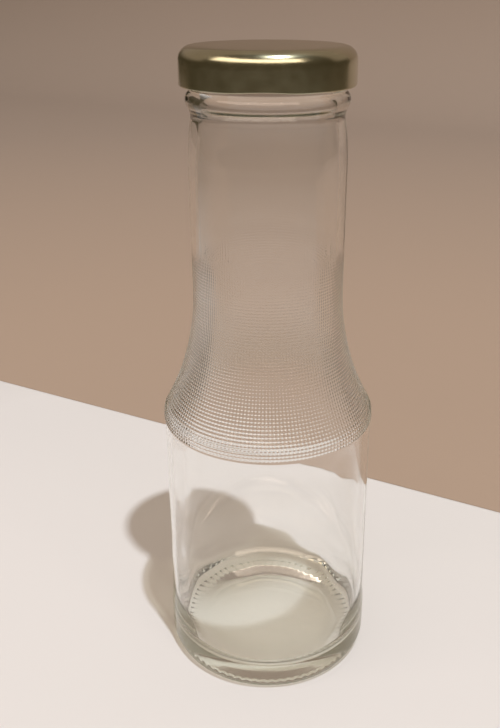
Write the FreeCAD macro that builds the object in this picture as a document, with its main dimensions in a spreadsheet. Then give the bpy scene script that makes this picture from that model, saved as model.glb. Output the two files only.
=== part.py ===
"""Wide-mouth glass drink bottle with a twist-off lug cap, in millimetres.

The origin is the middle of the base on the surface it stands on, +Z up the bottle's axis.
Three pieces: the moulded glass, the cap pressed from one sheet of tinplate, and the seal ring in it.
"""
import FreeCAD, Part
import os
import re
import Sketcher

PARTS_FOLDER = "parts"

# Driving dimensions in millimetres, angles in degrees
SIZES = {
    # base and heel
    "push_up_height": 3.2,
    "push_up_edge_height": 1.3,
    "push_up_slope": 5.9,
    "bearing_width": 3.4,
    "heel_set_in": 1.6,
    "heel_height": 4.0,
    "heel_band_height": 6.6,
    "heel_step": 0.4,
    "heel_step_length": 8.0,
    # body and lip
    "body_radius": 30.1,
    "body_height": 76.0,
    "body_wall": 1.9,
    "shoulder_rounding": 5.0,
    "lip_step": 0.4,
    "lip_step_length": 0.25,
    "lip_band_height": 2.85,
    "lip_rounding": 1.6,
    # flare and neck
    "flare_height": 36.0,
    "neck_radius": 20.9,
    "neck_height": 35.1,
    "neck_swell": 0.25,
    "neck_wall": 2.2,
    "throat_depth": 1.0,
    "throat_height": 13.4,
    # bead below the cap
    "bead_depth": 1.25,
    "bead_lower_height": 3.0,
    "bead_upper_height": 2.6,
    # finish: the part of the neck that the cap closes
    "finish_set_in": 0.7,
    "finish_height": 9.4,
    "finish_wall": 2.4,
    "rim_rounding": 0.8,
    # inside of the base
    "floor_thickness": 2.4,
    "floor_rounding": 5.0,
    # lug threads of the finish
    "thread_lead": 16.0,
    "thread_span": 78.0,
    "thread_depth": 1.1,
    "thread_root_height": 1.9,
    "thread_tip_height": 1.1,
    "thread_clearance": 0.15,
    "thread_overlap": 6.0,
    # cap, round the threads with some clearance
    "cap_clearance": 1.6,
    "cap_height": 9.8,
    "cap_sheet": 0.25,
    "cap_edge_radius": 3.6,
    "curl_radius": 0.65,
    "lug_count": 4,
    "lug_angle": 87.0,
    "lug_span": 18.0,
    "lug_tip_gap": 0.45,
    "lug_thickness": 0.9,
    "lug_lift": 0.15,
    # seal ring, inside the rounded edge of the cap
    "liner_edge_gap": 0.1,
    "liner_width": 2.3,
    "liner_thickness": 1.15,
    "liner_rounding": 0.3,
    # how far joined shapes run into each other, and a cut past its face
    "root_depth": 0.5,
    "weld_depth": 0.12,
    "cut_past": 1.0,
}

# Sizes worked out from those: heights up the bottle, each from the one below it, then radii
STATIONS = {
    "heel_band_top": "heel_height + heel_band_height",
    "label_bottom": "heel_height + heel_band_height + heel_step_length",
    "lip_bottom": "body_height + lip_step_length",
    "flare_bottom": "body_height + lip_step_length + lip_band_height",
    "flare_top": "flare_bottom + flare_height",
    "swell_height": "flare_top + neck_height",
    "throat_top": "swell_height + throat_height",
    "bead_middle": "throat_top + bead_lower_height",
    "finish_bottom": "bead_middle + bead_upper_height",
    "rim_height": "finish_bottom + finish_height",
    "panel_height": "rim_height + liner_thickness",
    "cap_top": "panel_height + cap_sheet",
    "cap_bottom": "cap_top - cap_height",
    "lug_bottom": "cap_bottom + lug_lift",
    "lug_top": "lug_bottom + lug_thickness",
    "lug_start_angle": "lug_angle - lug_span / 2",
    "thread_start_angle": "lug_start_angle - thread_overlap",
    "thread_bottom": "lug_top + thread_clearance - thread_lead * thread_overlap / 360",
    "heel_radius": "body_radius + heel_step",
    "bearing_outer_radius": "heel_radius - heel_set_in",
    "bearing_inner_radius": "bearing_outer_radius - bearing_width",
    "push_up_radius": "bearing_inner_radius - push_up_slope",
    "lip_radius": "body_radius + lip_step",
    "swell_radius": "neck_radius + neck_swell",
    "body_bore": "body_radius - body_wall",
    "neck_bore": "neck_radius - neck_wall",
    "swell_bore": "swell_radius - neck_wall",
    "floor_height": "push_up_height + floor_thickness",
    "throat_radius": "neck_radius - throat_depth",
    "finish_radius": "neck_radius - finish_set_in",
    "bead_radius": "finish_radius + bead_depth",
    "bore_radius": "finish_radius - finish_wall",
    "thread_radius": "finish_radius + thread_depth",
    "cap_radius": "thread_radius + cap_clearance",
    "skirt_bore": "cap_radius - cap_sheet",
    "lug_tip_radius": "finish_radius + lug_tip_gap",
    "liner_outer_radius": "cap_radius - cap_edge_radius - liner_edge_gap",
    "liner_inner_radius": "liner_outer_radius - liner_width",
}

doc = FreeCAD.newDocument("DrinkBottle")
sheet = doc.addObject("Spreadsheet::Sheet", "Sizes")


def write_cell(row, name, content):
    """Put one named size in the sheet."""
    sheet.set("A%d" % row, name)
    sheet.set("B%d" % row, content)
    sheet.setAlias("B%d" % row, name)


for row, (name, size) in enumerate(SIZES.items(), start=1):
    write_cell(row, name, str(size))
for row, (name, formula) in enumerate(STATIONS.items(), start=len(SIZES) + 2):
    write_cell(row, name, "=" + formula)
doc.recompute()


def bound(formula):
    """The formula with each size name addressed in the sheet."""
    names = set(SIZES) | set(STATIONS)
    return re.sub(r"[a-z_]+", lambda word: "Sizes." + word[0] if word[0] in names else word[0], formula)


def value(formula):
    """What a formula of size names comes to, as a plain number."""
    return float(sheet.evalExpression(formula))


def quarter_radius(across, up):
    """Radius of an arc that covers that much across and up, and ends straight up or down."""
    return "(({0})^2 + ({1})^2) / (2 * ({0}))".format(across, up)


def new_body(label):
    """An empty body for one piece, with its label and place."""
    body = doc.addObject("PartDesign::Body", label)
    body.Label = label
    body.Placement = FreeCAD.Placement()
    return body


def profile_sketch(body, name, turned_by=None):
    """A sketch in the half plane through the axis: across is the radius, up is the height."""
    plane = [item for item in body.Origin.OriginFeatures if item.Role == "XZ_Plane"][0]
    sketch = body.newObject("Sketcher::SketchObject", name)
    sketch.AttachmentSupport = (plane, [""])
    sketch.MapMode = "FlatFace"
    if turned_by:
        turn = FreeCAD.Rotation(FreeCAD.Vector(0, 1, 0), value(turned_by))
        sketch.AttachmentOffset = FreeCAD.Placement(FreeCAD.Vector(), turn)
        sketch.setExpression("AttachmentOffset.Rotation.Angle", bound(turned_by))
    return sketch


def arc_between(start, end, radius, turn):
    """Short arc from start to end; turn is +1 anticlockwise or -1 clockwise."""
    chord = end - start
    side = FreeCAD.Vector(-chord.y, chord.x, 0).normalize()
    offset = max(radius ** 2 - (chord.Length / 2) ** 2, 0) ** 0.5
    centre = (start + end) * 0.5 + side * (turn * offset)
    circle = Part.Circle(centre, FreeCAD.Vector(0, 0, 1), radius)
    first, last = (start, end) if turn > 0 else (end, start)
    return Part.ArcOfCircle(circle, circle.parameter(first), circle.parameter(last))


def fix_point(sketch, geometry, end, across, up):
    """Hold one end of a line or arc at a radius and a height taken from the sheet."""
    for axis, kind, formula in ((-2, "DistanceX", across), (-1, "DistanceY", up)):
        if formula == "0":
            sketch.addConstraint(Sketcher.Constraint("PointOnObject", geometry, end, axis))
        else:
            distance = Sketcher.Constraint(kind, -1, 1, geometry, end, value(formula))
            index = sketch.addConstraint(distance)
            sketch.setExpression("Constraints[%d]" % index, bound(formula))


def draw_outline(sketch, corners):
    """Closed outline of (radius, height) corners; one reached by an arc adds the arc's radius and turn."""
    points = [FreeCAD.Vector(value(corner[0]), value(corner[1]), 0) for corner in corners]
    ends = []
    for index, corner in enumerate(corners):
        start, end = points[index - 1], points[index]
        if len(corner) == 2:
            geometry = sketch.addGeometry(Part.LineSegment(start, end))
            ends.append((geometry, 1, 2))
        else:
            geometry = sketch.addGeometry(arc_between(start, end, value(corner[2]), corner[3]))
            ends.append((geometry, 1, 2) if corner[3] > 0 else (geometry, 2, 1))
    for index, corner in enumerate(corners):
        geometry, first, last = ends[index]
        before, before_first, before_last = ends[index - 1]
        sketch.addConstraint(Sketcher.Constraint("Coincident", before, before_last, geometry, first))
        fix_point(sketch, geometry, last, corner[0], corner[1])
        if len(corner) == 4:
            radius = sketch.addConstraint(Sketcher.Constraint("Radius", geometry, value(corner[2])))
            sketch.setExpression("Constraints[%d]" % radius, bound(corner[2]))


def turn_round(body, sketch, kind, name, span="360"):
    """Revolve the sketch round the axis over an angle, as a solid or as a cut."""
    feature = body.newObject(kind, name)
    feature.Profile = sketch
    feature.ReferenceAxis = (sketch, ["V_Axis"])
    feature.setExpression("Angle", bound(span))
    sketch.Visibility = False
    doc.recompute()
    return feature


def round_ring(body, base, name, radius, height, rounding):
    """Round the circular edge that lies at that radius and height."""
    wanted = []
    for number, edge in enumerate(base.Shape.Edges, start=1):
        corner = edge.Vertexes[0].Point
        at_height = abs(corner.z - value(height)) < 1e-4
        at_radius = abs((corner.x ** 2 + corner.y ** 2) ** 0.5 - value(radius)) < 1e-4
        if edge.isClosed() and edge.Length > value(radius) and at_height and at_radius:
            wanted.append("Edge%d" % number)
    fillet = body.newObject("PartDesign::Fillet", name)
    fillet.Base = (base, wanted)
    fillet.setExpression("Radius", bound(rounding))
    doc.recompute()
    return fillet


def climb_round(body, sketch, name, lead, span):
    """Sweep the sketch up a helix over an angle."""
    ridge = body.newObject("PartDesign::AdditiveHelix", name)
    ridge.Profile = sketch
    ridge.ReferenceAxis = (sketch, ["V_Axis"])
    ridge.Mode = "pitch-height-angle"
    ridge.setExpression("Pitch", bound(lead))
    ridge.setExpression("Height", bound("%s * %s / 360" % (lead, span)))
    ridge.LeftHanded = False
    sketch.Visibility = False
    doc.recompute()
    return ridge


def repeat_round(body, feature, name, count):
    """Repeat a feature evenly round the axis."""
    ring = body.newObject("PartDesign::PolarPattern", name)
    ring.Originals = [feature]
    ring.Axis = (feature.Profile[0], ["V_Axis"])
    ring.Angle = 360
    ring.setExpression("Occurrences", bound(count))
    body.Tip = ring
    doc.recompute()
    return ring


def make_bottle():
    """The moulded glass: outside, cavity, rounded lip and rim, and the lug threads."""
    body = new_body("glass_bottle")
    dome_arc = quarter_radius("push_up_height - push_up_edge_height", "push_up_radius")
    heel_arc = quarter_radius("heel_radius - bearing_outer_radius", "heel_height")
    flare_arc = quarter_radius("lip_radius - neck_radius", "flare_height")
    throat_arc = quarter_radius("swell_radius - throat_radius", "throat_height")
    bead_lower_arc = quarter_radius("bead_radius - throat_radius", "bead_lower_height")
    bead_upper_arc = quarter_radius("bead_radius - finish_radius", "bead_upper_height")
    outside = profile_sketch(body, "GlassOutside")
    draw_outline(outside, [
        ("0", "push_up_height"),
        ("push_up_radius", "push_up_edge_height", dome_arc, -1),
        ("bearing_inner_radius", "0"),
        ("bearing_outer_radius", "0"),
        ("heel_radius", "heel_height", heel_arc, 1),
        ("heel_radius", "heel_band_top"),
        ("body_radius", "label_bottom"),
        ("body_radius", "body_height"),
        ("lip_radius", "lip_bottom"),
        ("lip_radius", "flare_bottom"),
        ("neck_radius", "flare_top", flare_arc, -1),
        ("swell_radius", "swell_height"),
        ("throat_radius", "throat_top", throat_arc, 1),
        ("bead_radius", "bead_middle", bead_lower_arc, 1),
        ("finish_radius", "finish_bottom", bead_upper_arc, 1),
        ("finish_radius", "rim_height"),
        ("0", "rim_height"),
    ])
    solid = turn_round(body, outside, "PartDesign::Revolution", "GlassSolid")

    inner_flare_arc = quarter_radius("body_bore - neck_bore", "flare_height")
    inner_throat_arc = quarter_radius("swell_bore - bore_radius", "throat_height")
    cavity = profile_sketch(body, "GlassCavity")
    draw_outline(cavity, [
        ("0", "floor_height"),
        ("body_bore - floor_rounding", "floor_height"),
        ("body_bore", "floor_height + floor_rounding", "floor_rounding", 1),
        ("body_bore", "flare_bottom"),
        ("neck_bore", "flare_top", inner_flare_arc, -1),
        ("swell_bore", "swell_height"),
        ("bore_radius", "throat_top", inner_throat_arc, 1),
        ("bore_radius", "rim_height + cut_past"),
        ("0", "rim_height + cut_past"),
    ])
    hollow = turn_round(body, cavity, "PartDesign::Groove", "GlassHollow")
    if hollow.Shape.Volume >= solid.Shape.Volume:
        raise RuntimeError("the cavity cut nothing out of the glass")

    shoulder = round_ring(body, hollow, "ShoulderInside", "body_bore", "flare_bottom", "shoulder_rounding")
    lip = round_ring(body, shoulder, "LipRounding", "lip_radius", "flare_bottom", "lip_rounding")
    rim = round_ring(body, lip, "RimOutside", "finish_radius", "rim_height", "rim_rounding")
    round_ring(body, rim, "RimInside", "bore_radius", "rim_height", "rim_rounding")

    thread = profile_sketch(body, "ThreadSection", "thread_start_angle")
    draw_outline(thread, [
        ("finish_radius - root_depth", "thread_bottom"),
        ("thread_radius", "thread_bottom"),
        ("thread_radius", "thread_bottom + thread_tip_height"),
        ("finish_radius", "thread_bottom + thread_root_height"),
        ("finish_radius - root_depth", "thread_bottom + thread_root_height"),
    ])
    ridge = climb_round(body, thread, "Thread", "thread_lead", "thread_span")
    repeat_round(body, ridge, "Threads", "lug_count")
    return body


def make_cap():
    """The cap: flat panel, rounded edge, straight skirt, inward curl and the lugs."""
    body = new_body("cap_shell")
    sheet_outline = profile_sketch(body, "CapSheet")
    curl_middle = "cap_bottom + curl_radius"
    inner_edge = "cap_edge_radius - cap_sheet"
    inner_curl = "curl_radius - cap_sheet"
    draw_outline(sheet_outline, [
        ("0", "panel_height"),
        ("cap_radius - cap_edge_radius", "panel_height"),
        ("skirt_bore", "cap_top - cap_edge_radius", inner_edge, -1),
        ("skirt_bore", curl_middle),
        ("cap_radius - curl_radius", "cap_bottom + cap_sheet", inner_curl, -1),
        ("skirt_bore - 2 * (%s)" % inner_curl, curl_middle, inner_curl, -1),
        ("cap_radius - 2 * curl_radius", curl_middle),
        ("cap_radius - curl_radius", "cap_bottom", "curl_radius", 1),
        ("cap_radius", curl_middle, "curl_radius", 1),
        ("cap_radius", "cap_top - cap_edge_radius"),
        ("cap_radius - cap_edge_radius", "cap_top", "cap_edge_radius", 1),
        ("0", "cap_top"),
    ])
    turn_round(body, sheet_outline, "PartDesign::Revolution", "CapDrawn")

    section = profile_sketch(body, "LugSection", "lug_start_angle")
    lug_root = "skirt_bore + weld_depth"
    draw_outline(section, [
        ("lug_tip_radius", "lug_bottom"),
        (lug_root, "lug_bottom"),
        (lug_root, "lug_top"),
        ("lug_tip_radius", "lug_top"),
    ])
    lug = turn_round(body, section, "PartDesign::Revolution", "Lug", "lug_span")
    repeat_round(body, lug, "Lugs", "lug_count")
    return body


def make_liner():
    """The ring of sealing compound between the cap's panel and the glass rim."""
    body = new_body("cap_liner")
    section = profile_sketch(body, "LinerSection")
    draw_outline(section, [
        ("liner_inner_radius", "rim_height"),
        ("liner_outer_radius", "rim_height"),
        ("liner_outer_radius", "panel_height"),
        ("liner_inner_radius", "panel_height"),
    ])
    ring = turn_round(body, section, "PartDesign::Revolution", "LinerRing")
    inner = round_ring(body, ring, "LinerInside", "liner_inner_radius", "rim_height", "liner_rounding")
    round_ring(body, inner, "LinerOutside", "liner_outer_radius", "rim_height", "liner_rounding")
    return body


def check(pieces):
    """Stop if any object failed, or a piece is not one valid solid."""
    for item in doc.Objects:
        if "Invalid" in item.State or "Error" in item.State:
            raise RuntimeError("%s failed: %s" % (item.Name, item.State))
    for piece in pieces:
        shape = piece.Shape
        if shape.isNull() or not shape.isValid() or len(shape.Solids) != 1:
            raise RuntimeError("%s is not one valid solid" % piece.Label)


def main():
    """Make the pieces, check them and write each to its own file."""
    pieces = [make_bottle(), make_cap(), make_liner()]
    doc.recompute()
    check(pieces)
    os.makedirs(PARTS_FOLDER, exist_ok=True)
    for piece in pieces:
        piece.Shape.exportStep("%s/%s.step" % (PARTS_FOLDER, piece.Label))
        box = piece.Shape.BoundBox
        print("%s: volume %.1f mm3, height %.2f to %.2f mm, across %.2f mm"
              % (piece.Label, piece.Shape.Volume, box.ZMin, box.ZMax, box.XLength))


main()
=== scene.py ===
"""Looks of the glass drink bottle with its twist-off cap, in metres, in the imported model's frame."""
import math
import bpy
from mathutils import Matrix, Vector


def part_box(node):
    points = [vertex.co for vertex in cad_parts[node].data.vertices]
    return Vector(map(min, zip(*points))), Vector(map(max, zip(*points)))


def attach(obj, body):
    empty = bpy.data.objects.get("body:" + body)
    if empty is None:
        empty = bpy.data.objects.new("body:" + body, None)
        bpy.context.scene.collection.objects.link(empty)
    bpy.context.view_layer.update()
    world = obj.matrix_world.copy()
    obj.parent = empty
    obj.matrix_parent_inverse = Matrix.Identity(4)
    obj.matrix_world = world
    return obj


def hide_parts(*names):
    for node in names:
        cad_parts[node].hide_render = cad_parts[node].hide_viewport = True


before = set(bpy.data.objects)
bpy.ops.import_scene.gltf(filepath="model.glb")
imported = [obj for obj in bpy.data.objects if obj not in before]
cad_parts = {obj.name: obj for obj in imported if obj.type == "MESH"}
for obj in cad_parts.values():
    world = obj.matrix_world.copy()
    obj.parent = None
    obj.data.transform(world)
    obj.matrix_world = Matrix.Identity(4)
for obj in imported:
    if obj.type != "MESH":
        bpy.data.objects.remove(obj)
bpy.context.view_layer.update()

MM = 0.001
TURN = 2 * math.pi

# Sizes read from the frame
glass_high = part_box("glass_bottle")[1]
cap_low, cap_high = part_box("cap_shell")
liner_low, liner_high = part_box("cap_liner")
RIM_HEIGHT = glass_high[2]
CAP_TOP = cap_high[2]
CAP_BOTTOM = cap_low[2]
LINER_RADIUS = liner_high[0]
LINER_BOTTOM = liner_low[2]
LINER_TOP = liner_high[2]

# Outside of the glass: radii, then heights up the bottle
BODY_RADIUS = 30.1 * MM
LIP_RADIUS = BODY_RADIUS + 0.4 * MM
HEEL_RADIUS = BODY_RADIUS + 0.4 * MM
BEARING_OUTER = HEEL_RADIUS - 1.6 * MM
BEARING_INNER = BEARING_OUTER - 3.4 * MM
PUSH_UP_RADIUS = BEARING_INNER - 5.9 * MM
NECK_RADIUS = 20.9 * MM
SWELL_RADIUS = NECK_RADIUS + 0.25 * MM
THROAT_RADIUS = NECK_RADIUS - 1.0 * MM
FINISH_RADIUS = NECK_RADIUS - 0.7 * MM
BEAD_RADIUS = FINISH_RADIUS + 1.25 * MM
PUSH_UP_HEIGHT = 3.2 * MM
PUSH_UP_EDGE = 1.3 * MM
HEEL_HEIGHT = 4.0 * MM
HEEL_BAND_TOP = HEEL_HEIGHT + 6.6 * MM
LABEL_BOTTOM = HEEL_BAND_TOP + 8.0 * MM
BODY_TOP = 76.0 * MM
BODY_LAST_STEP = 0.3 * MM
LIP_BOTTOM = BODY_TOP + 0.25 * MM
FLARE_BOTTOM = BODY_TOP + 3.1 * MM
FLARE_TOP = FLARE_BOTTOM + 36.0 * MM
SWELL_HEIGHT = FLARE_TOP + 35.1 * MM
FINISH_BOTTOM = RIM_HEIGHT - 9.4 * MM
BEAD_MIDDLE = FINISH_BOTTOM - 2.6 * MM
THROAT_TOP = BEAD_MIDDLE - 3.0 * MM
RIM_ROUNDING = 0.8 * MM
RIM_LOW = RIM_HEIGHT - RIM_ROUNDING
THROAT_SOFTENING = 1.8 * MM
LIP_SOFTENING = 0.9 * MM

# Inside of the glass
BODY_BORE = BODY_RADIUS - 1.9 * MM
NECK_BORE = NECK_RADIUS - 2.2 * MM
SWELL_BORE = SWELL_RADIUS - 2.2 * MM
MOUTH_BORE = FINISH_RADIUS - 2.4 * MM
FLOOR_HEIGHT = PUSH_UP_HEIGHT + 2.4 * MM
FLOOR_ROUNDING = 5.0 * MM
FLOOR_CROWN = 0.3 * MM
SHOULDER_DROP = 0.6 * MM
SHOULDER_WALL = 6.0 * MM
SHOULDER_SOFTENING = 1.3 * MM
WALL_WAVE = 0.14 * MM
WAVE_FADE_MOUTH = 12 * MM
WAVE_FADE_FLOOR = 25 * MM
# Each wave's share, count round the bottle, phase, and change of phase per metre of height
WAVES = ((0.45, 4, 0.6, 9), (0.35, 9, 2.1, 0), (0.2, 17, 4.0, -15))

# Rows of moulded pearls on the lip, flare and lower neck
PEARLS_ROUND = 170
SAMPLES_PER_PEARL = 4
SAMPLES_PER_ROW = 4
PEARL_DEPTH_LIP = 0.36 * MM
PEARL_DEPTH_NECK = 0.20 * MM
# Share of the way out from the neck to the lip by which the pearls have the lip's depth
PEARLS_DEEP_BY = 0.25
ROW_PITCH_LIP = 1.06 * MM
ROW_PITCH_NECK = 0.87 * MM
PEARLS_FADE_FROM = 122 * MM
PEARLS_FADE_TO = 129 * MM
PEARLS_END = 130 * MM

# Stippled ring that the bottle stands on
RIDGES_ROUND = 68
RIDGE_DEPTH = 0.26 * MM
RIDGE_REACH = 1.2 * MM
RIDGE_FADE = 1.2 * MM

# Lug threads of the finish and lugs of the cap; the inset keeps crests and flats just inside the solids
INSET = 0.05 * MM
LUG_COUNT = 4
LUG_ANGLE = math.radians(87)
LUG_SPAN = math.radians(18)
LUG_BOTTOM = CAP_BOTTOM + 0.15 * MM
LUG_TOP = LUG_BOTTOM + 0.9 * MM
LUG_TIP_RADIUS = FINISH_RADIUS + 0.45 * MM
LUG_BLEND = math.radians(4)
THREAD_LEAD = 16.0 * MM
THREAD_SPAN = math.radians(78)
THREAD_OVERLAP = math.radians(6)
THREAD_START = LUG_ANGLE - LUG_SPAN / 2 - THREAD_OVERLAP
THREAD_CLEARANCE = 0.15 * MM
THREAD_BOTTOM = LUG_TOP + THREAD_CLEARANCE - THREAD_LEAD * THREAD_OVERLAP / TURN
THREAD_DEPTH = 1.1 * MM
THREAD_HEIGHT = 1.9 * MM
# Shares of a thread's height at which its steep foot ends and its slope starts, and its run-outs
THREAD_FOOT = 0.25
THREAD_CREST = 0.5
THREAD_RUN_IN = math.radians(5)
THREAD_RUN_OUT = math.radians(9)

# Cap
CAP_CLEARANCE = 1.6 * MM
CAP_RADIUS = FINISH_RADIUS + THREAD_DEPTH + CAP_CLEARANCE
CAP_SHEET = 0.25 * MM
CAP_EDGE = 3.6 * MM
CURL_RADIUS = 0.65 * MM
CURL_CORNER = 0.12 * MM
LINING_START = CAP_BOTTOM + 2 * CURL_RADIUS + 0.3 * MM
EDGE_WAVE = 0.40 * MM
EDGE_WAVE_SPAN = math.radians(24)

# Liner
LINER_WIDTH = 2.3 * MM
LINER_ROUNDING = 0.3 * MM
GROOVE_START = 0.9 * MM
GROOVE_WIDTH = 0.96 * MM
GROOVE_DEPTH = 0.12 * MM

SEGMENTS_PLAIN = PEARLS_ROUND
SEGMENTS_BASE = 5 * RIDGES_ROUND
SEGMENTS_CAP = 288


def smooth_step(value):
    """0 below 0, 1 above 1, and an even S between."""
    value = min(max(value, 0.0), 1.0)
    return value * value * (3 - 2 * value)


def line(start, end, steps):
    """Points past start on the straight way to end."""
    return [tuple(a + (b - a) * step / steps for a, b in zip(start, end)) for step in range(1, steps + 1)]


def swing(upright, other, steps):
    """Points from the end where an arc runs straight up to its other end, both included."""
    across, rise = other[0] - upright[0], other[1] - upright[1]
    radius = (across ** 2 + rise ** 2) / (2 * abs(across))
    full = math.asin(min(abs(rise) / radius, 1.0))
    points = []
    for step in range(steps + 1):
        angle = full * step / steps
        reach = math.copysign(radius * (1 - math.cos(angle)), across)
        points.append((upright[0] + reach, upright[1] + math.copysign(radius * math.sin(angle), rise)))
    return points


def bow(middle, radius, first, last, steps):
    """Points of a circle from a first to a last angle in degrees, both included."""
    angles = [math.radians(first + (last - first) * step / steps) for step in range(steps + 1)]
    return [(middle[0] + radius * math.cos(angle), middle[1] + radius * math.sin(angle)) for angle in angles]


def soften(points, reach):
    """The same outline with its corners rounded over a reach along it, its ends kept."""
    rounded = []
    for index, (radius, height) in enumerate(points):
        room = min(index, len(points) - 1 - index)
        near = [p for p in points[index - room:index + room + 1]
                if math.dist(p, (radius, height)) <= reach]
        rounded.append(tuple(sum(p[axis] for p in near) / len(near) for axis in (0, 1)))
    return rounded


def ring(radius, height, segments, shift=None):
    """One ring of points round the axis; shift(angle) moves a point (outwards, upwards)."""
    points = []
    for step in range(segments):
        angle = TURN * step / segments
        out, up = shift(angle) if shift else (0.0, 0.0)
        reach = radius + out
        points.append((reach * math.cos(angle), reach * math.sin(angle), height + up))
    return points


def rings_of(outline, segments, shift=None):
    """A ring for each point of an outline; shift(angle, radius, height) moves its points."""
    made = []
    for radius, height in outline:
        move = (lambda angle: shift(angle, radius, height)) if shift else None
        made.append(ring(radius, height, segments, move))
    return made


def bridge(first, second):
    """Faces between two rings of vertex numbers; one may have a multiple of the other's points."""
    faces = []
    if len(first) == 1:
        return [(first[0], second[k], second[k - 1]) for k in range(len(second))]
    if len(second) == 1:
        return [(first[k - 1], first[k], second[0]) for k in range(len(first))]
    more, fewer = (first, second) if len(first) >= len(second) else (second, first)
    share = len(more) // len(fewer)
    for k in range(len(fewer)):
        fan = [more[(k * share + j) % len(more)] for j in range(share + 1)]
        face = fan + [fewer[(k + 1) % len(fewer)], fewer[k]]
        faces.append(tuple(face if more is first else reversed(face)))
    return faces


def skin(name, rings, closed=False):
    """A smooth mesh over rings in order; a ring of one point ends it, closed joins last to first."""
    points, numbers, faces = [], [], []
    for one in rings:
        numbers.append(list(range(len(points), len(points) + len(one))))
        points += one
    for before, after in zip(numbers, numbers[1:]):
        faces += bridge(before, after)
    if closed:
        faces += bridge(numbers[-1], numbers[0])
    mesh = bpy.data.meshes.new(name)
    mesh.from_pydata(points, [], faces)
    mesh.validate()
    mesh.shade_smooth()
    piece = bpy.data.objects.new(name, mesh)
    bpy.context.scene.collection.objects.link(piece)
    return piece


def stipple(angle, radius, height):
    """Radial ridges under the bearing ring: their crests stay on the floor."""
    middle = (BEARING_INNER + BEARING_OUTER) / 2
    share = 1 - smooth_step((abs(radius - middle) - RIDGE_REACH) / RIDGE_FADE)
    return 0.0, RIDGE_DEPTH * share * (0.5 - 0.5 * math.cos(RIDGES_ROUND * angle))


def wall_wave(angle, radius, height):
    """Slow unevenness of the blown inside, gone at the mouth and the floor."""
    share = smooth_step((THROAT_TOP - height) / WAVE_FADE_MOUTH)
    share *= smooth_step((height - FLOOR_HEIGHT) / WAVE_FADE_FLOOR)
    wave = sum(part * math.cos(count * angle + phase + twist * height) for part, count, phase, twist in WAVES)
    return WALL_WAVE * share * wave, 0.0


def thread(angle, radius, height):
    """Helical lug threads, steep below and sloping above, that run out at both ends."""
    along = (angle - THREAD_START) % (TURN / LUG_COUNT)
    if along > THREAD_SPAN:
        return 0.0, 0.0
    share = (height - THREAD_BOTTOM - THREAD_LEAD * along / TURN) / THREAD_HEIGHT
    slope = smooth_step((share - THREAD_CREST) / (1 - THREAD_CREST))
    section = smooth_step(share / THREAD_FOOT) * (1 - slope)
    ends = smooth_step(along / THREAD_RUN_IN) * smooth_step((THREAD_SPAN - along) / THREAD_RUN_OUT)
    return (THREAD_DEPTH - INSET) * section * ends, 0.0


def pearl_rings():
    """Rings over the lip, flare and lower neck whose points rise and sink with the rows of pearls."""
    flare = swing((NECK_RADIUS, FLARE_TOP), (LIP_RADIUS, FLARE_BOTTOM), 400)
    outline = [(LIP_RADIUS, LIP_BOTTOM)] + line((LIP_RADIUS, LIP_BOTTOM), (LIP_RADIUS, FLARE_BOTTOM), 24)
    outline += flare[-2::-1]
    outline += line((NECK_RADIUS, FLARE_TOP), (SWELL_RADIUS, SWELL_HEIGHT), 400)
    outline = soften(outline, LIP_SOFTENING)
    made = []
    phase = 0.0
    wanted = 0.0
    for before, after in zip(outline, outline[1:]):
        share = (before[0] - NECK_RADIUS) / (LIP_RADIUS - NECK_RADIUS)
        pitch = ROW_PITCH_NECK + (ROW_PITCH_LIP - ROW_PITCH_NECK) * share
        length = math.dist(before, after)
        gap = length / pitch
        across = (after[0] - before[0]) / length
        rise = (after[1] - before[1]) / length
        while wanted <= phase + gap and before[1] < PEARLS_END:
            part = (wanted - phase) / gap
            radius, height = (a + (b - a) * part for a, b in zip(before, after))
            fade = 1 - smooth_step((height - PEARLS_FADE_FROM) / (PEARLS_FADE_TO - PEARLS_FADE_FROM))
            deeper = (PEARL_DEPTH_LIP - PEARL_DEPTH_NECK) * smooth_step(share / PEARLS_DEEP_BY)
            depth = (PEARL_DEPTH_NECK + deeper) * fade
            row = 0.5 - 0.5 * math.cos(TURN * wanted)

            def sink(angle):
                """Only the tops of the pearls stay on the outline."""
                pearl = (0.5 + 0.5 * math.cos(PEARLS_ROUND * angle)) ** 2
                low = depth * (1 - row * pearl)
                return -low * rise, low * across

            made.append(ring(radius, height, PEARLS_ROUND * SAMPLES_PER_PEARL, sink))
            wanted += 1 / SAMPLES_PER_ROW
        phase += gap
    return made


def upper_outline():
    """The plain upper neck, the throat and the bead under the cap."""
    swell = (SWELL_RADIUS, SWELL_HEIGHT)
    neck_share = (PEARLS_END - FLARE_TOP) / (SWELL_HEIGHT - FLARE_TOP)
    neck_start = (NECK_RADIUS + (SWELL_RADIUS - NECK_RADIUS) * neck_share, PEARLS_END)
    # The first short step past the pearls keeps the shading of the tall faces above it even
    neck = line(neck_start, swell, 60)[:1] + line(neck_start, swell, 4)
    throat = swing(swell, (THROAT_RADIUS, THROAT_TOP), 60)[1:]
    throat += swing((BEAD_RADIUS, BEAD_MIDDLE), (THROAT_RADIUS, THROAT_TOP), 16)[-2::-1]
    throat = soften(throat, THROAT_SOFTENING)[::2]
    bead = [(BEAD_RADIUS, BEAD_MIDDLE)]
    bead += swing((BEAD_RADIUS, BEAD_MIDDLE), (FINISH_RADIUS, FINISH_BOTTOM), 6)[1:]
    return neck + throat + bead


def rim_outline():
    """The rounded rim, from its outside over to its inside."""
    outer = bow((FINISH_RADIUS - RIM_ROUNDING, RIM_LOW), RIM_ROUNDING, 0, 90, 6)[1:]
    return outer + bow((MOUTH_BORE + RIM_ROUNDING, RIM_LOW), RIM_ROUNDING, 90, 180, 6)


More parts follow.
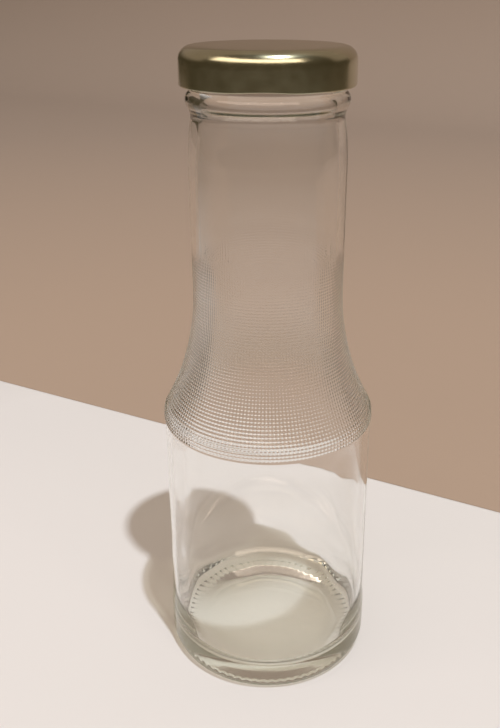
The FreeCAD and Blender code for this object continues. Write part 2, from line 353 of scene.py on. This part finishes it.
def inside_outline():
    """The inside from the mouth down to the floor."""
    inside = line((MOUTH_BORE, RIM_LOW), (MOUTH_BORE, THROAT_TOP), 3)
    inside += swing((SWELL_BORE, SWELL_HEIGHT), (MOUTH_BORE, THROAT_TOP), 7)[-2::-1]
    inside += line((SWELL_BORE, SWELL_HEIGHT), (NECK_BORE, FLARE_TOP), 6)
    shoulder_bottom = FLARE_BOTTOM - SHOULDER_DROP
    wall_top = (BODY_BORE, shoulder_bottom - SHOULDER_WALL)
    shoulder = swing((NECK_BORE, FLARE_TOP), (BODY_BORE, shoulder_bottom), 60)[1:]
    shoulder += line((BODY_BORE, shoulder_bottom), wall_top, 10)
    inside += soften(shoulder, SHOULDER_SOFTENING)
    inside += line(wall_top, (BODY_BORE, FLOOR_HEIGHT + FLOOR_ROUNDING), 9)
    flat = BODY_BORE - FLOOR_ROUNDING
    inside += bow((flat, FLOOR_HEIGHT + FLOOR_ROUNDING), FLOOR_ROUNDING, 0, -90, 7)[1:]
    inside += [(flat * (1 - k / 5), FLOOR_HEIGHT + FLOOR_CROWN * smooth_step(k / 5)) for k in range(1, 5)]
    return inside


def make_glass():
    """The bottle as one closed skin: base, outside with its pearls, finish with its threads, inside."""
    push_up = [(PUSH_UP_RADIUS * k / 6, PUSH_UP_HEIGHT - (PUSH_UP_HEIGHT - PUSH_UP_EDGE) * (k / 6) ** 2)
               for k in range(1, 7)]
    slope = line((PUSH_UP_RADIUS, PUSH_UP_EDGE), (BEARING_INNER, 0.0), 5)
    bearing = line((BEARING_INNER, 0.0), (BEARING_OUTER, 0.0), 5)
    heel = swing((HEEL_RADIUS, HEEL_HEIGHT), (BEARING_OUTER, 0.0), 10)[-2::-1]
    step_in = [(HEEL_RADIUS, HEEL_BAND_TOP)]
    step_in += [(HEEL_RADIUS + (BODY_RADIUS - HEEL_RADIUS) * smooth_step(k / 8),
                 HEEL_BAND_TOP + (LABEL_BOTTOM - HEEL_BAND_TOP) * k / 8) for k in range(1, 9)]
    # The short last step below the pearls keeps the shading of the tall faces under it even
    body = line((BODY_RADIUS, LABEL_BOTTOM), (BODY_RADIUS, BODY_TOP - BODY_LAST_STEP), 6)
    body.append((BODY_RADIUS, BODY_TOP))
    finish = line((FINISH_RADIUS, FINISH_BOTTOM), (FINISH_RADIUS, RIM_LOW), 24)

    rings = [[(0.0, 0.0, PUSH_UP_HEIGHT)]]
    rings += rings_of(push_up, SEGMENTS_PLAIN)
    rings += rings_of(slope + bearing + heel[:3], SEGMENTS_BASE, stipple)
    rings += rings_of(heel[3:] + step_in + body, SEGMENTS_PLAIN)
    rings += pearl_rings()
    rings += rings_of(upper_outline(), SEGMENTS_PLAIN)
    rings += rings_of(finish, SEGMENTS_PLAIN, thread)
    rings += rings_of(rim_outline(), SEGMENTS_PLAIN)
    rings += rings_of(inside_outline(), SEGMENTS_PLAIN, wall_wave)
    rings.append([(0.0, 0.0, FLOOR_HEIGHT + FLOOR_CROWN)])
    return skin("bottle_glass", rings)


def lug_share(angle, blend):
    """1 at a lug of the cap and 0 away from it; a long blend reaches out past the lug's ends."""
    quarter = TURN / LUG_COUNT
    off = abs((angle - LUG_ANGLE + quarter / 2) % quarter - quarter / 2)
    return 1 - smooth_step((off - max(LUG_SPAN / 2 - blend, 0.0)) / blend)


def make_cap():
    """The pressed cap: panel, rounded edge, skirt, rolled curl that turns in to form the lugs."""
    edge_middle = (CAP_RADIUS - CAP_EDGE, CAP_TOP - CAP_EDGE)
    panel = [(edge_middle[0] * k / 8, CAP_TOP) for k in range(1, 8)]
    edge = bow(edge_middle, CAP_EDGE, 90, 0, 10)
    skirt = line(edge[-1], (CAP_RADIUS, CAP_BOTTOM + 3 * CURL_CORNER), 6)
    skirt.append((CAP_RADIUS, CAP_BOTTOM + CURL_CORNER))
    curl_middle = (CAP_RADIUS - CURL_RADIUS, CAP_BOTTOM + CURL_RADIUS)
    inner = CAP_RADIUS - CAP_SHEET
    rings = [[(0.0, 0.0, CAP_TOP)]]
    rings += rings_of(panel + edge, SEGMENTS_CAP)

    def roll(angle, radius, height):
        """Wave of the lower edge, and the curl pulled in to form the lugs."""
        share = lug_share(angle, LUG_BLEND)
        inward = min(max((curl_middle[0] - radius) / CURL_RADIUS, 0.0), 1.0)
        low = min(max((curl_middle[1] - height) / CURL_RADIUS, 0.0), 1.0)
        reach = (curl_middle[0] - CURL_RADIUS - LUG_TIP_RADIUS) * share * inward
        lifted = height + EDGE_WAVE * lug_share(angle, EDGE_WAVE_SPAN) * low * (1 - inward)
        held = min(max(lifted, LUG_BOTTOM + INSET), LUG_TOP - INSET)
        return -reach, lifted + (held - lifted) * share * inward - height

    corner = bow((CAP_RADIUS - CURL_CORNER, CAP_BOTTOM + CURL_CORNER), CURL_CORNER, 0, -90, 4)[1:]
    curl = bow(curl_middle, CURL_RADIUS, -90, -247.5, 7)
    rings += rings_of(skirt + corner + curl, SEGMENTS_CAP, roll)
    ceiling = CAP_TOP - CAP_SHEET
    lining = line((inner, LINING_START), (inner, edge_middle[1]), 5)
    lining += bow(edge_middle, CAP_EDGE - CAP_SHEET, 0, 90, 8)[1:]
    lining += line((edge_middle[0], ceiling), (0.0, ceiling), 4)[:-1]
    rings += rings_of(lining, SEGMENTS_CAP)
    rings.append([(0.0, 0.0, ceiling)])
    return skin("gold_cap", rings)


def make_liner():
    """The ring of compound, with the shallow groove that the rim has pressed into it."""
    inner = LINER_RADIUS - LINER_WIDTH
    bevel_top = LINER_BOTTOM + LINER_ROUNDING
    section = [(inner, LINER_TOP), (inner, bevel_top), (inner + LINER_ROUNDING, LINER_BOTTOM)]
    for step in range(9):
        depth = GROOVE_DEPTH * smooth_step(1 - abs(step - 4) / 4)
        section.append((inner + GROOVE_START + GROOVE_WIDTH * step / 8, LINER_BOTTOM + depth))
    section += [(LINER_RADIUS - LINER_ROUNDING, LINER_BOTTOM), (LINER_RADIUS, bevel_top)]
    section.append((LINER_RADIUS, LINER_TOP))
    return skin("seal_ring", rings_of(section, SEGMENTS_PLAIN), closed=True)


def new_material(name):
    """An empty node material, its node tree and its output node."""
    material = bpy.data.materials.new(name)
    material.use_nodes = True
    tree = material.node_tree
    tree.nodes.clear()
    return material, tree, tree.nodes.new("ShaderNodeOutputMaterial")


def noise(tree, scale, detail, stretch=(1, 1, 1)):
    """Noise in object space, drawn out along an axis by a stretch below 1."""
    place = tree.nodes.new("ShaderNodeTexCoord")
    mapping = tree.nodes.new("ShaderNodeMapping")
    mapping.inputs["Scale"].default_value = stretch
    texture = tree.nodes.new("ShaderNodeTexNoise")
    texture.inputs["Scale"].default_value = scale
    texture.inputs["Detail"].default_value = detail
    tree.links.new(place.outputs["Object"], mapping.inputs["Vector"])
    tree.links.new(mapping.outputs["Vector"], texture.inputs["Vector"])
    return texture.outputs["Fac"]


def ramp(tree, source, low, high, span=(0.3, 0.7)):
    """Colour or grey from low to high as the source goes over a span."""
    node = tree.nodes.new("ShaderNodeValToRGB")
    for point, place, shade in zip(node.color_ramp.elements, span, (low, high)):
        point.position = place
        point.color = (*shade, 1) if isinstance(shade, tuple) else (shade, shade, shade, 1)
    tree.links.new(source, node.inputs["Fac"])
    return node.outputs["Color"]


def math_node(tree, operation, *sources):
    """The result of a calculation on sources and numbers."""
    node = tree.nodes.new("ShaderNodeMath")
    node.operation = operation
    for source, place in zip(sources, node.inputs):
        if isinstance(source, (int, float)):
            place.default_value = source
        else:
            tree.links.new(source, place)
    return node.outputs["Value"]


def bump(tree, source, strength, distance):
    """A normal that follows a grey source."""
    node = tree.nodes.new("ShaderNodeBump")
    node.inputs["Strength"].default_value = strength
    node.inputs["Distance"].default_value = distance
    tree.links.new(source, node.inputs["Height"])
    return node.outputs["Normal"]


# Light that has been mirrored more often than this inside the glass passes straight out of it, with a loss
MIRRORINGS = 3.5
SPENT_LOSS = 0.58
PASSING_COLOURS = ((0.97, 0.975, 0.955), (0.40, 0.37, 0.30))
PASSING_SPAN = (0.4, 0.95)
GLASS_TINT = (0.84, 0.88, 0.73, 1)
GLASS_TINT_DENSITY = 15


def glass_material():
    """Clear moulded glass: faintly yellow-green where it is thick, slightly uneven surface."""
    material, tree, output = new_material("moulded_glass")
    shader = tree.nodes.new("ShaderNodeBsdfPrincipled")
    shader.inputs["Base Color"].default_value = (1.0, 1.0, 1.0, 1)
    shader.inputs["Transmission Weight"].default_value = 1.0
    shader.inputs["IOR"].default_value = 1.5
    tree.links.new(ramp(tree, noise(tree, 160, 3), 0.0, 0.03), shader.inputs["Roughness"])
    tree.links.new(bump(tree, noise(tree, 90, 2, (1, 1, 0.25)), 0.06, 0.4 * MM), shader.inputs["Normal"])
    clear = tree.nodes.new("ShaderNodeBsdfTransparent")
    path = tree.nodes.new("ShaderNodeLightPath")
    spent = math_node(tree, "GREATER_THAN", path.outputs["Glossy Depth"], MIRRORINGS)
    slant = tree.nodes.new("ShaderNodeLayerWeight")
    loss = math_node(tree, "MAXIMUM", slant.outputs["Facing"], math_node(tree, "MULTIPLY", spent, SPENT_LOSS))
    tree.links.new(ramp(tree, loss, *PASSING_COLOURS, PASSING_SPAN), clear.inputs["Color"])
    mix = tree.nodes.new("ShaderNodeMixShader")
    tint = tree.nodes.new("ShaderNodeVolumeAbsorption")
    tint.inputs["Color"].default_value = GLASS_TINT
    tint.inputs["Density"].default_value = GLASS_TINT_DENSITY
    # Shadows and light from matt surfaces go straight through, dimmed where the wall is seen edge on
    straight = math_node(tree, "MAXIMUM", path.outputs["Is Shadow Ray"], path.outputs["Is Diffuse Ray"])
    tree.links.new(math_node(tree, "MAXIMUM", straight, spent), mix.inputs["Fac"])
    tree.links.new(shader.outputs["BSDF"], mix.inputs[1])
    tree.links.new(clear.outputs["BSDF"], mix.inputs[2])
    tree.links.new(mix.outputs["Shader"], output.inputs["Surface"])
    tree.links.new(tint.outputs["Volume"], output.inputs["Volume"])
    return material


GOLD_COLOURS = ((0.545, 0.52, 0.36), (0.585, 0.56, 0.39))
COMPOUND_COLOURS = ((0.70, 0.67, 0.59), (0.80, 0.77, 0.70))


def gold_material():
    """Gold lacquer over bright tinplate: a tinted metal with a glossy coat and faint handling marks."""
    material, tree, output = new_material("gold_lacquer")
    shader = tree.nodes.new("ShaderNodeBsdfPrincipled")
    shader.inputs["Metallic"].default_value = 1.0
    shader.inputs["Coat Weight"].default_value = 0.5
    shader.inputs["Coat Roughness"].default_value = 0.1
    tree.links.new(ramp(tree, noise(tree, 70, 3), *GOLD_COLOURS), shader.inputs["Base Color"])
    tree.links.new(ramp(tree, noise(tree, 300, 4), 0.20, 0.26), shader.inputs["Roughness"])
    tree.links.new(bump(tree, noise(tree, 120, 2), 0.03, 0.2 * MM), shader.inputs["Normal"])
    tree.links.new(shader.outputs["BSDF"], output.inputs["Surface"])
    return material


def compound_material():
    """Matt off-white sealing compound, faintly mottled."""
    material, tree, output = new_material("sealing_compound")
    shader = tree.nodes.new("ShaderNodeBsdfPrincipled")
    tree.links.new(ramp(tree, noise(tree, 400, 4), *COMPOUND_COLOURS), shader.inputs["Base Color"])
    tree.links.new(ramp(tree, noise(tree, 700, 3), 0.5, 0.65), shader.inputs["Roughness"])
    tree.links.new(bump(tree, noise(tree, 1500, 3), 0.15, 0.08 * MM), shader.inputs["Normal"])
    tree.links.new(shader.outputs["BSDF"], output.inputs["Surface"])
    return material


def plain_material(name, near, far, fade):
    """A matt stage surface whose colour goes from one to another with the distance from the bottle, a painted
    shading of the light's fall-off.
    """
    material, tree, output = new_material(name)
    shader = tree.nodes.new("ShaderNodeBsdfPrincipled")
    shader.inputs["Roughness"].default_value = 0.85
    place = tree.nodes.new("ShaderNodeTexCoord")
    distance = tree.nodes.new("ShaderNodeVectorMath")
    distance.operation = "LENGTH"
    tree.links.new(place.outputs["Object"], distance.inputs[0])
    tree.links.new(ramp(tree, distance.outputs["Value"], near, far, fade), shader.inputs["Base Color"])
    tree.links.new(shader.outputs["BSDF"], output.inputs["Surface"])
    return material


# Stage: a pale round floor and behind the bottle a sheet of beige paper that lies on it and rises far back,
# both with painted shade that darkens with distance
FLOOR_RADIUS = 1.0
FLOOR_LEVEL = -0.2 * MM
# Painted shade: the floor goes from pale near the bottle to nearly black far off, standing in for the light
# falling off in a dim room
FLOOR_COLOURS = ((0.80, 0.79, 0.80), (0.13, 0.12, 0.105))
FLOOR_SHADE_SPAN = (0.20, 0.70)
# Painted shade: the paper darkens from near the bottle to its far, upright part, standing in for how the
# light falls on it
PAPER_COLOURS = ((0.45, 0.34, 0.265), (0.39, 0.305, 0.25))
PAPER_SHADE_SPAN = (0.3, 1.4)
PAPER_START = 96 * MM
PAPER_TURN = math.radians(-27.5)
PAPER_SIDES = (-1.4, 0.7)
PAPER_BEND = 1.3
PAPER_BEND_RADIUS = 0.3
PAPER_HEIGHT = 1.4


def make_floor():
    """The round floor, a hair below the bottle so that the two do not meet."""
    rings = [[(0.0, 0.0, FLOOR_LEVEL)]]
    rings += rings_of([(FLOOR_RADIUS * k / 8, FLOOR_LEVEL) for k in range(1, 9)], 96)
    floor = skin("floor", rings)
    floor.data.materials.append(plain_material("pale_floor", *FLOOR_COLOURS, FLOOR_SHADE_SPAN))


def make_paper():
    """The sheet of paper: flat on the floor, then bent up to stand behind."""
    bend_start = PAPER_BEND - PAPER_BEND_RADIUS
    side = [(PAPER_START, 0.0), (bend_start, 0.0)]
    side += bow((bend_start, PAPER_BEND_RADIUS), PAPER_BEND_RADIUS, -90, 0, 12)[1:]
    side.append((PAPER_BEND, PAPER_HEIGHT))
    points = []
    for back, up in side:
        for across in PAPER_SIDES:
            x = across * math.cos(PAPER_TURN) - back * math.sin(PAPER_TURN)
            y = across * math.sin(PAPER_TURN) + back * math.cos(PAPER_TURN)
            points.append((x, y, up))
    faces = [(2 * k, 2 * k + 1, 2 * k + 3, 2 * k + 2) for k in range(len(side) - 1)]
    mesh = bpy.data.meshes.new("paper")
    mesh.from_pydata(points, [], faces)
    mesh.shade_smooth()
    paper = bpy.data.objects.new("paper", mesh)
    bpy.context.scene.collection.objects.link(paper)
    mesh.materials.append(plain_material("beige_paper", *PAPER_COLOURS, PAPER_SHADE_SPAN))


# Light: one small lamp high at the front right, and an arc of wide warm panels in front
LAMP_PLACE = (0.844, -1.503, 5.0)
LAMP_SIZE = (0.13, 0.13)
LAMP_POWER = 156.0
LAMP_COLOUR = (0.95, 0.98, 1.0)
PANEL_TURNS = (-69, -43, -17, 9, 35)
PANEL_DISTANCE = 1.8
PANEL_MIDDLE = 1.59
PANEL_SIZE = (0.86, 0.86)
PANEL_POWER = 6.6
PANEL_COLOUR = (1.0, 0.83, 0.69)
LIGHT_AIM = (0.0, 0.0, 0.08)
ROOM_COLOUR = (0.062, 0.047, 0.026)
ROOM_BACK_COLOUR = (0.285, 0.22, 0.17)
ROOM_BACK_FADE = (0.49, 0.56)
ROOM_UPPER_FADE = (0.1, 0.3)


def aim(thing, place, target):
    """Put a lamp at a place and turn it to a target."""
    thing.location = place
    way = [t - p for t, p in zip(target, place)]
    flat = math.hypot(way[0], way[1])
    thing.rotation_euler = (math.atan2(flat, -way[2]), 0.0, math.atan2(way[1], way[0]) - math.pi / 2)


def add_lamp(name, shape, place, size, power, colour):
    """An area lamp turned to the bottle."""
    lamp = bpy.data.lights.new(name, "AREA")
    lamp.shape = shape
    lamp.size, lamp.size_y = size
    lamp.energy = power
    lamp.color = colour
    holder = bpy.data.objects.new(name, lamp)
    bpy.context.scene.collection.objects.link(holder)
    aim(holder, place, LIGHT_AIM)


def make_light():
    """The lamp, and the arc of panels."""
    add_lamp("lamp", "ELLIPSE", LAMP_PLACE, LAMP_SIZE, LAMP_POWER, LAMP_COLOUR)
    for number, turn in enumerate(PANEL_TURNS):
        x = PANEL_DISTANCE * math.sin(math.radians(turn))
        y = -PANEL_DISTANCE * math.cos(math.radians(turn))
        add_lamp(f"panel_{number}", "RECTANGLE", (x, y, PANEL_MIDDLE), PANEL_SIZE, PANEL_POWER, PANEL_COLOUR)


def make_room():
    """A dim room whose upper part behind the bottle is beige like the paper."""
    world = bpy.data.worlds.new("room")
    bpy.context.scene.world = world
    world.use_nodes = True
    tree = world.node_tree
    place = tree.nodes.new("ShaderNodeTexCoord")
    split = tree.nodes.new("ShaderNodeSeparateXYZ")
    tree.links.new(place.outputs["Generated"], split.inputs["Vector"])
    depth = math_node(tree, "MULTIPLY_ADD", split.outputs["Y"], 0.5, 0.5)
    behind = ramp(tree, depth, 0.0, 1.0, ROOM_BACK_FADE)
    above = ramp(tree, split.outputs["Z"], 0.0, 1.0, ROOM_UPPER_FADE)
    share = math_node(tree, "MULTIPLY", behind, above)
    colour = ramp(tree, share, ROOM_COLOUR, ROOM_BACK_COLOUR, (0.0, 1.0))
    tree.links.new(colour, tree.nodes["Background"].inputs["Color"])


# Camera of the photograph, for a frame of 500 by 728
FRAME_WIDTH, FRAME_HEIGHT = 500, 728
FOCAL_PIXELS = 863.0
MIDDLE_PIXEL = (267.85, 316.94)
CAMERA_PITCH = math.radians(21.217)
CAMERA_PLACE = (0.0, -228.14 * MM, 194.67 * MM)
SENSOR = 36.0


def make_camera():
    """The photograph's camera, its middle shifted as in the photograph."""
    lens = bpy.data.cameras.new("photo_camera")
    lens.sensor_fit = "VERTICAL"
    lens.sensor_height = SENSOR
    lens.lens = FOCAL_PIXELS * SENSOR / FRAME_HEIGHT
    lens.shift_x = (FRAME_WIDTH / 2 - MIDDLE_PIXEL[0]) / FRAME_HEIGHT
    lens.shift_y = (MIDDLE_PIXEL[1] - FRAME_HEIGHT / 2) / FRAME_HEIGHT
    lens.clip_start = 5 * MM
    camera = bpy.data.objects.new("photo_camera", lens)
    camera.location = CAMERA_PLACE
    camera.rotation_euler = (math.pi / 2 - CAMERA_PITCH, 0.0, 0.0)
    bpy.context.scene.collection.objects.link(camera)
    bpy.context.scene.camera = camera


def finish_piece(piece, material, body, node):
    """Give a piece its material and tie it to the frame."""
    piece.data.materials.append(material)
    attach(piece, body)
    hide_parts(node)


finish_piece(make_glass(), glass_material(), "bottle", "glass_bottle")
finish_piece(make_cap(), gold_material(), "cap", "cap_shell")
finish_piece(make_liner(), compound_material(), "seal", "cap_liner")
make_floor()
make_paper()
make_light()
make_room()
make_camera()
bpy.context.scene.view_settings.view_transform = "Standard"
